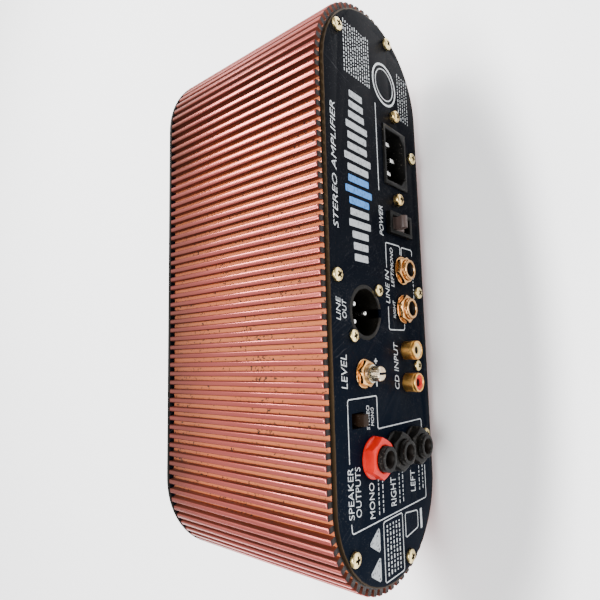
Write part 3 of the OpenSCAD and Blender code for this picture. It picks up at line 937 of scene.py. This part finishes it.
def jack_bushing(outer, rise, depth, nut_top, finish):
    """A threaded tube with a rounded mouth, from its lip down to this depth behind the face."""
    lip = 0.35
    outline = [
        (jack_bore, -depth), (jack_bore, rise - 0.5), (jack_bore + 0.15, rise - 0.12),
        (jack_bore + 0.45, rise),
        (outer - lip, rise), (outer - 0.08, rise - lip * 0.4), (outer, rise - lip),
    ]
    outline += threads(outer, rise - 0.6, nut_top)
    outline += [(outer - 0.1, nut_top - 0.2), (outer - 0.1, -depth)]
    return lined(turned_ring(outline, 48), finish, jack_bore + 0.02, rise)


def hex_nut(corners, hole, low, high, flange=None):
    """A hexagon nut with its outer corners turned away, on a round flange if one is given."""
    flat = corners / 2 * math.cos(math.radians(30))
    drop = (corners / 2 - flat) * 0.75
    bpy.ops.mesh.primitive_cylinder_add(
        vertices=6, radius=corners / 2, depth=high - low, location=(0, 0, (low + high) / 2),
        rotation=(0, 0, math.radians(30)),
    )
    prism = bpy.context.object
    bpy.ops.object.transform_apply()
    lens = turned_ring([
        (hole, low - 0.1), (corners, low - 0.1), (corners / 2 + 0.01, high - drop),
        (flat * 0.98, high - 0.06), (flat * 0.93, high + 0.01), (hole + 0.5, high + 0.01),
        (hole, high - 0.45),
    ], 48)
    nut = combined(eased(prism, 0.18), lens, "INTERSECT")
    if flange:
        collar = turned_ring([
            (hole, low), (flange - 0.15, low), (flange, low + 0.2), (flange - 0.1, low + 0.8),
            (flat * 0.97, low + 1.5), (hole, low + 1.5),
        ], 48)
        nut = joined([nut, collar], "nut")
    return nut


def washer(outer, hole, low, high):
    return turned_ring([
        (hole, low), (outer - 0.1, low), (outer, low + 0.12), (outer, high - 0.15),
        (outer - 0.15, high), (hole + 0.1, high), (hole, high - 0.1),
    ], 48)


line_spots = [(-10.9, -16.7), (6.6, -16.7)]
line_places = [on_rear(x, z, turn) for (x, z), turn in zip(line_spots, (8, -14))]
for side, place in zip(("right", "left"), line_places):
    fitted(
        jack_bushing(4.45, 4.8, 7.5, 3.0, brass), [place], f"line_jack_bushing_{side}",
        "body", "brass", f"line_in_bushing_{side}",
    )
fitted(
    hex_nut(12.6, 4.45, 0.8, 3.0), line_places, "line_jack_nuts",
    "body", "brass", "line_in_nuts", finish=brass,
)
fitted(
    washer(6.4, 4.6, 0, 0.8), line_places, "line_jack_washers",
    "body", "brass", "line_in_washers", finish=brass,
)

# ==== Speaker jacks ====
# Three quarter-inch jacks with moulded threaded bushings and deep flanged plastic nuts, red on
# the bridged output and black on the pair below it.


def whole_jack(name, place, size, plate, outer, rise, depth, nut_top):
    """A moulded jack: a square housing of this size behind the plate, bored for the plug, and a
    threaded bushing through the plate."""
    housing = eased(dressed(box_piece(size, -plate - size[2]), jack_black), 0.6)
    end, side = -plate - 24, jack_bore + 0.05
    bore = dressed(turned([(0, end), (side, end), (side, 1), (0, 1)]), bore_shade)
    housing = combined(housing, bore, "DIFFERENCE")
    bushing = jack_bushing(outer, rise, depth, nut_top, jack_black)
    return joined([set_pieces(p, [place], name) for p in (housing, bushing)], name)


speaker_x = -70.4
speaker_rows = {"mono": 11.9, "right": -3.5, "left": -18.9}
jack_black = plastic_finish("jack_moulding", (0.005, 0.0045, 0.004), 0.36, dust=0.4, sheen=0.12)
for side, z in speaker_rows.items():
    jack = whole_jack(
        f"speaker_jack_{side}_socket", on_rear(speaker_x, z), (16, 14, 30), 1.5, 4.9, 7.6, 1.6, 5.0
    )
    finished(jack, "body", "black_plastic", f"speaker_jack_{side}")
red_plastic = plastic_finish("red_moulding", (0.56, 0.009, 0.004), 0.36, dust=0.2, sheen=0.25)
for name, sides, finish, slot, node in (
    ("bridged_output_nut", ["mono"], red_plastic, "red_plastic", "speaker_nut_mono"),
    ("speaker_pair_nuts", ["right", "left"], jack_black, "black_plastic", "speaker_nuts"),
):
    places = [on_rear(speaker_x, speaker_rows[side]) for side in sides]
    fitted(hex_nut(16.2, 4.9, 0, 5, 8.1), places, name, "body", slot, node, finish=finish)

# ==== Balanced output ====
# A three-pole male socket set flush in the plate: a deep round cup with a key slot at the bottom and
# three plated pins with rounded tips. Two small screws hold it.

socket_at = (-13.7, 13.4)
socket = cad_copy("xlr_body", "balanced_output_cup", 0.3)
dark_casting = plastic_finish("dark_casting", (0.0030, 0.0025, 0.0018), 0.34, dust=0.3, sheen=0.12)
finished(dressed(socket, dark_casting), "body", "black_plastic", "xlr_body")
pin_profile = [
    (0, -3), (0.6, -3.12), (0.98, -3.45), (1.18, -4.1), (1.2, -4.6), (1.2, -26.6), (0.9, -27), (0, -27),
]
pin_spots = ((-3.6, 3), (3.6, 3), (0, -4.6))
pin_places = [on_rear(socket_at[0] + x, socket_at[1] + z) for x, z in pin_spots]
fitted(
    turned(pin_profile, 24), pin_places, "balanced_output_pins",
    "body", "contact_metal", "xlr_pins", finish=nickel,
)
phono_at = (-36.3, -17)
socket_screws = [
    on_rear(socket_at[0] + side * 9.5, socket_at[1] - side * 9.5, turn)
    for side, turn in ((-1, 20), (1, 65))
]
phono_screws = [on_rear(phono_at[0], phono_at[1] - 9.2, 40)]
small_screws = joined(
    [
        set_pieces(cross_screw(5, 1.5, 2.6, 6, zinc), socket_screws, "socket_screws"),
        set_pieces(cross_screw(4.8, 1.8, 2.6, 8, zinc), phono_screws, "phono_screw"),
    ],
    "connector_fixing_screws",
)
finished(small_screws, "body", "zinc_screws", "connector_screws")

# ==== Phono pair ====
# Two gold-plated barrels riveted into a moulded base behind the plate, each lined with a coloured
# insulator round its centre hole: red for the right channel, cream for the left.

barrel_profile = [
    (3.3, -5.5), (3.3, 6.0), (3.45, 6.2), (3.85, 6.2), (4.05, 6.0), (4.1, 5.7), (4.1, 5.0),
    (4.0, 4.9), (4.0, 4.7), (4.1, 4.6), (4.1, 0.02), (4.0, 0), (4.0, -5.5),
]
phono_places = [on_rear(phono_at[0] + x, phono_at[1]) for x in (-7, 7)]
gold = metal_finish("worn_gold_plating", (0.90, 0.50, 0.13), (0.74, 0.30, 0.10), 0.34, 0.6)
fitted(
    turned_ring(barrel_profile), phono_places, "phono_barrels",
    "body", "brass", "phono_shells", finish=gold,
)
cream_plastic = plastic_finish("cream_moulding", (0.74, 0.52, 0.22), 0.4, dust=0.5)
liner_profile = [
    (1.65, -5.5), (1.65, 5.1), (1.95, 5.55), (2.5, 5.9), (3.0, 5.9), (3.28, 5.7), (3.28, -5.5),
]
for side, place, liner_finish, slot in zip(
    ("red", "white"), phono_places, (red_plastic, cream_plastic), ("red_plastic", "cream_plastic")
):
    liner = lined(turned_ring(liner_profile), liner_finish, 1.67, 5.0)
    fitted(liner, [place], f"phono_liner_{side}", "body", slot, f"phono_insert_{side}")

# ==== Level control ====
# A small potentiometer with a split, knurled shaft and no knob. Its case is behind the plate, and
# its bushing takes a thin washer and a nut.

level_at = (-37.9, 16.4)
pot_metal = metal_finish("plated_case", (0.62, 0.60, 0.52), (0.36, 0.32, 0.24), 0.30, 0.4)
thread_profile = [
    (3.2, 0.2), (3.2, 4.12), (3.35, 4.19), *threads(3.56, 4.0, 2.6, 0.5, 0.14), (3.45, 0.2),
]
for piece, turn, name, slot, *node in (
    (turned_ring(thread_profile, 36), 0, "level_control_bushing", "pot_metal"),
    (hex_nut(10.8, 3.5, 0.5, 2.7), 12, "level_control_nut", "brass", "level_pot_nut"),
    (washer(5.7, 3.65, 0, 0.5), 0, "level_control_washer", "brass", "level_pot_washer"),
):
    fitted(piece, [on_rear(*level_at, turn)], name, "body", slot, *node, finish=brass)


def knurled_shaft(low, knurl_from, high):
    """A control shaft: plain below, knurled above, with a slot across its tip."""
    teeth = 18
    shaft = turned([
        (0, high), (2.45, high), (2.8, high - 0.35), (2.98, high - 0.6), (2.98, knurl_from),
        (2.6, knurl_from - 0.2), (2.6, knurl_from - 0.9), (3.0, knurl_from - 1.1), (3.0, low), (0, low),
    ], teeth * 4)
    for v in shaft.data.vertices:
        radius = math.hypot(v.co.x, v.co.y)
        if radius > 2.9 and v.co.z > knurl_from - 0.05:
            corner = round(math.atan2(v.co.y, v.co.x) / math.tau * teeth * 4) % 4
            cut = (1.0, 0.985, 0.93, 0.985)[corner]
            v.co.x *= cut
            v.co.y *= cut
    return combined(shaft, box_piece((1, 8, 4), high - 3), "DIFFERENCE")


shaft_plating = metal_finish("shaft_plating", (0.84, 0.72, 0.52), (0.62, 0.38, 0.20), 0.18, 0.8)
fitted(
    knurled_shaft(-7.3, 4.6, 8.3), [on_rear(*level_at)], "level_control_shaft",
    "level_control", "zinc_screws", "level_pot_shaft", finish=shaft_plating,
)

# ==== Mode switch ====
# A recessed two-position slide switch behind a window in the plate. Its dark slider has a ribbed
# thumb face.

mode_case = cad_copy("mode_switch_body", "mode_switch_case", 0.2)
dark_brown = plastic_finish("dark_brown_moulding", (0.016, 0.008, 0.004), 0.5, sheen=0.1)
finished(dressed(mode_case, dark_brown), "body", "black_plastic", "mode_switch_body")
mode_thumb = cad_copy("mode_switch_slider", "mode_switch_thumb", 0.25, 3)
finished(dressed(mode_thumb, dark_brown), "mode_slider", "black_plastic", "mode_switch_slider")

# ==== Front control plate ====
# A thicker black plate over the sleeve's other end, with five rotary controls in a row, a jack and a
# pilot light. Printed scales and plain words mark the controls.

front_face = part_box("front_panel")[1].y


def on_front(x, z, turn=0):
    """Frame on the front plate, in millimetres: local x to a viewer's right, y up, z out."""
    place = Matrix.Translation((-x * mm, front_face, mid_height + z * mm))
    place = place @ Matrix.Rotation(math.pi, 4, "Z") @ Matrix.Rotation(math.radians(90), 4, "X")
    return place @ Matrix.Rotation(math.radians(turn), 4, "Z")


# As on the rear plate, the second, bluer tone is a painted reflection.
front_paint = plate_finish(
    "front_plate_paint", (0.0032, 0.0036, 0.0050), (0.0032, 0.0050, 0.0080), (0.030, 0.028, 0.026),
    tip_radius - 0.0003,
)
front_plate = dressed(cad_copy("front_panel", "control_plate", 0.18), front_paint)
finished(front_plate, "body", "panel_black", "front_panel")

knob_spots = {"gain": -48, "bass": -22, "mid": 4, "treble": 30, "volume": 56}
controls_z = -4
scale_marks = []
for x in knob_spots.values():
    for tick in range(11):
        angle = math.radians(240 - 30 * tick)
        ends = (10.2, 11.8 if tick % 5 else 12.6)
        line = [(x + r * math.cos(angle), controls_z + r * math.sin(angle)) for r in ends]
        scale_marks.append(ink_line(line, 0.5))
for control, x in knob_spots.items():
    half = 0.95 * len(control)
    scale_marks.append(ink_word(control.upper(), x - half, x + half, 11.5, 14.3, 0.0))
scale_marks += [
    ink_word("INPUT", -85.2, -74.8, 6.0, 8.8, 0.0),
    ink_word("ON", 79.6, 84.4, 6.0, 8.8, 0.0),
    ink_word("0", -59.6, -57.9, -17.8, -15.2, 0.0),
    ink_word("10", 64.9, 68.2, -17.8, -15.2, 0.0),
    ink_outline([(-68, 20), (70, 20), (70, -22), (-68, -22)], 0.6),
]
printed(scale_marks, "control_scales", on_front(0, 0), pale_ink, "cream_plastic")

black_oxide = metal_finish("black_oxide", (0.060, 0.058, 0.056), (0.03, 0.028, 0.026), 0.32, 0.4)
front_shank = (front_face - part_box("front_panel_screws")[0].y) / mm
fitted(
    cross_screw(5.5, 1.9, 3, front_shank, black_oxide),
    [on_front(-x, z, 53 * i) for i, (x, z) in enumerate(screw_spots)],
    "control_plate_screws", "body", "black_screws", "front_panel_screws",
)

# ==== Front controls ====
# Fluted push-on knobs with a white pointer line, each on its own potentiometer shaft behind a
# plated nut. The knob turns with its shaft.


def fluted_knob(skirt, body, low, high):
    """A moulded knob: a skirt, a body fluted round its side and a shallow dished top."""
    flutes = 12
    knob = turned([
        (3.0, low + 4.4), (3.0, high - 2), (0, high - 2), (0, high - 0.75), (body * 0.55, high - 0.55),
        (body - 1.6, high - 0.05), (body - 0.8, high), (body - 0.25, high - 0.25), (body, high - 0.9),
        (body, low + 3.4), (body + 0.3, low + 2.7), (skirt - 0.5, low + 2.45),
        (skirt - 0.1, low + 2.1), (skirt, low + 1.6), (skirt, low + 0.3), (skirt - 0.25, low),
        (6.4, low), (6.2, low + 0.2), (6.2, low + 4.4), (3.0, low + 4.4),
    ], flutes * 8)
    for v in knob.data.vertices:
        radius = math.hypot(v.co.x, v.co.y)
        if body - 1.0 < radius < body + 0.1 and low + 3.2 < v.co.z < high + 0.01:
            phase = math.atan2(v.co.y, v.co.x) * flutes
            deep = (radius - 0.85 * max(0.0, math.cos(phase)) ** 2) / radius
            v.co.x *= deep
            v.co.y *= deep
    return knob


knob_gap = 1
knob_top = 15
knob_black = plastic_finish("knob_moulding", (0.007, 0.007, 0.008), 0.35, 2200.0, 0.3)
shaft_low = (front_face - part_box("shaft_gain")[0].y) / mm
pointer_white = plastic_finish("pointer_white", (0.75, 0.74, 0.70), 0.4, dust=0.2)
for control, x in knob_spots.items():
    place = on_front(x, controls_z)
    body = f"{control}_control"
    fitted(
        fluted_knob(8.5, 7.5, knob_gap, knob_top), [place], f"{control}_knob",
        body, "knob_plastic", f"knob_{control}", finish=knob_black, smooth=35,
    )
    line = ink_bar(-0.45, 0.45, 2.6, 7.0)
    lift = Matrix.Translation((0, 0, knob_top - 0.14))
    line.data.transform(lift @ Matrix.Diagonal((1, 1, 0.4, 1)))
    fitted(
        line, [place], f"{control}_knob_pointer",
        body, "cream_plastic", finish=pointer_white, smooth=20,
    )
    fitted(
        knurled_shaft(-shaft_low, 5.2, knob_top - 2), [place], f"{control}_spindle",
        body, "zinc_screws", f"shaft_{control}", finish=pot_metal,
    )
nut_places = [on_front(x, controls_z, 9 * i) for i, x in enumerate(knob_spots.values())]
fitted(
    hex_nut(10.8, 3.5, 0, 2), nut_places, "control_nuts",
    "body", "pot_metal", "front_pot_nuts", finish=pot_metal,
)

# ==== Instrument jack and pilot light ====
# One more quarter-inch jack, with a plated nut, and a domed red lens with a collar behind the plate.

input_place = on_front(-80, controls_z)
input_jack = whole_jack(
    "instrument_socket", input_place, (15, 15, 28), 2, 4.45, 4.8, 2.1, 2.4
)
finished(input_jack, "body", "black_plastic", "instrument_jack")
fitted(
    hex_nut(12.6, 4.45, 0, 2.4), [input_place], "instrument_socket_nut",
    "body", "pot_metal", "instrument_jack_nut", finish=pot_metal,
)

lens_profile = [(0, 2.57)]
for step in range(1, 9):
    angle = math.radians(76 * step / 8)
    lens_profile.append((2.57 * math.sin(angle), 2.57 * math.cos(angle)))
lens_profile += [(2.5, 0.55), (2.5, -2), (3.0, -2.05), (3.0, -7), (0, -7)]
pilot_red, tree, shader = new_finish("pilot_red_lens", (0.45, 0.012, 0.010), 0.12, IOR=1.49)
swirl = noise(object_place(tree), 700.0, 2.0)
swirl_share = ramp(swirl, 0.3, 0.7)
drive(
    shader, Base_Color=blend(swirl_share, (0.42, 0.010, 0.008), (0.60, 0.020, 0.015)),
    Roughness=ramp(swirl, 0.3, 0.7, 0.08, 0.16),
)
fitted(
    turned(lens_profile), [on_front(82, controls_z)], "pilot_lens",
    "body", "pilot_red", "pilot_light", finish=pilot_red,
)

# ==== Rubber feet ====
# Four round rubber feet under the sleeve, tapered towards the ground, each with a recessed centre
# that hides its screw.

foot_low, foot_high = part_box("rubber_feet")
foot_tall = foot_high.z / mm
foot_profile = [
    (0, foot_tall), (8, foot_tall), (8, foot_tall - 1.0), (7.85, foot_tall - 1.3), (7.2, 0.5),
    (7.05, 0.12), (6.75, 0), (3.4, 0), (3.1, 0.12), (2.95, 0.4), (2.9, 1.7), (0, 1.7),
]
inset = 0.008
foot_places = [
    Matrix.Translation((x, y, 0))
    for x in (foot_low.x + inset, foot_high.x - inset) for y in (foot_low.y + inset, foot_high.y - inset)
]
rubber = plastic_finish("black_rubber", (0.014, 0.014, 0.014), 0.72, 1500.0, 0.6, 0.00005)
fitted(
    turned(foot_profile), foot_places, "four_rubber_feet",
    "body", "rubber", "rubber_feet", finish=rubber,
)

# ==== Inside ====
# What the sleeve hides: boards on standoffs, the transformer, capacitors, inductors and the output
# devices on their heat spreader. These keep their shapes and take their own finishes.


def inner_finish(name, first, second, roughness, metallic, scale, stretch=(1, 1, 1)):
    """A two-tone finish whose pattern may be drawn out along an axis, as brushing is."""
    inner, tree, shader = new_finish(name, first, roughness, metallic)
    pattern = noise(stretched(object_place(tree), shade(stretch, scale)), 1.0, 3.0)
    drive(
        shader, Base_Color=blend(ramp(pattern, 0.40, 0.62), first, second),
        Roughness=ramp(pattern, 0.3, 0.7, roughness * 0.8, roughness * 1.25),
        Normal=relief(pattern, 0.3, 0.00006),
    )
    return inner


def wound_finish(name, first, second, direction):
    """Enamelled wire laid side by side: bands across the given axis."""
    wound, tree, shader = new_finish(name, first, 0.28, 0.7, Coat_Weight=0.4)
    bands = add(
        tree, "ShaderNodeTexWave", wave_type="BANDS", bands_direction=direction,
        in_Vector=object_place(tree), in_Scale=1 / 0.0011, in_Distortion=0.4, in_Detail=1.0,
    ).outputs["Fac"]
    drive(
        shader, Base_Color=blend(bands, second, first),
        Roughness=ramp(bands, 0.0, 1.0, 0.45, 0.25), Normal=relief(bands, 0.8, 0.0003),
    )
    return wound


mask_green = (0.010, 0.085, 0.030)
solder_mask, tree, shader = new_finish("solder_mask", mask_green, 0.35)
place = object_place(tree)
tracks = add(
    tree, "ShaderNodeTexBrick", in_Vector=place, in_Scale=90.0, in_Mortar_Size=0.03
).outputs["Fac"]
copper_noise = noise(place, 60.0, 2.0)
shown = times(tracks, ramp(copper_noise, 0.45, 0.55))
drive(
    shader, Base_Color=blend(shown, mask_green, (0.05, 0.20, 0.07)),
    Roughness=ramp(copper_noise, 0.3, 0.7, 0.3, 0.42), Normal=relief(shown, 0.4, 0.00005),
)

core_laminations = inner_finish(
    "core_laminations", (0.05, 0.05, 0.055), (0.12, 0.115, 0.11), 0.5, 0.5, 30.0, (1, 60, 1)
)
capacitor_wrap = inner_finish(
    "capacitor_wrap", (0.010, 0.014, 0.060), (0.020, 0.026, 0.090), 0.3, 0.0, 40.0
)
mill_aluminium = inner_finish(
    "mill_aluminium", (0.62, 0.62, 0.63), (0.48, 0.48, 0.49), 0.38, 1.0, 600.0, (0.02, 1, 1)
)
transformer_wire = wound_finish("transformer_wire", (0.60, 0.25, 0.07), (0.16, 0.05, 0.015), "X")
inductor_wire = wound_finish("inductor_wire", (0.65, 0.28, 0.08), (0.18, 0.06, 0.02), "Z")
inner_finishes = {
    solder_mask: ("main_board", "front_board"),
    brass: ("board_standoffs",),
    zinc: ("board_screws",),
    core_laminations: ("transformer_core",),
    transformer_wire: ("transformer_winding",),
    inductor_wire: ("output_inductors",),
    capacitor_wrap: ("bulk_capacitors",),
    mill_aluminium: ("heat_spreader",),
    black_plastic: ("power_transistors", "line_in_bodies", "phono_base"),
    pot_metal: ("level_pot_body", "front_pots"),
}
for finish, nodes in inner_finishes.items():
    for node in nodes:
        dressed(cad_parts[node], finish)
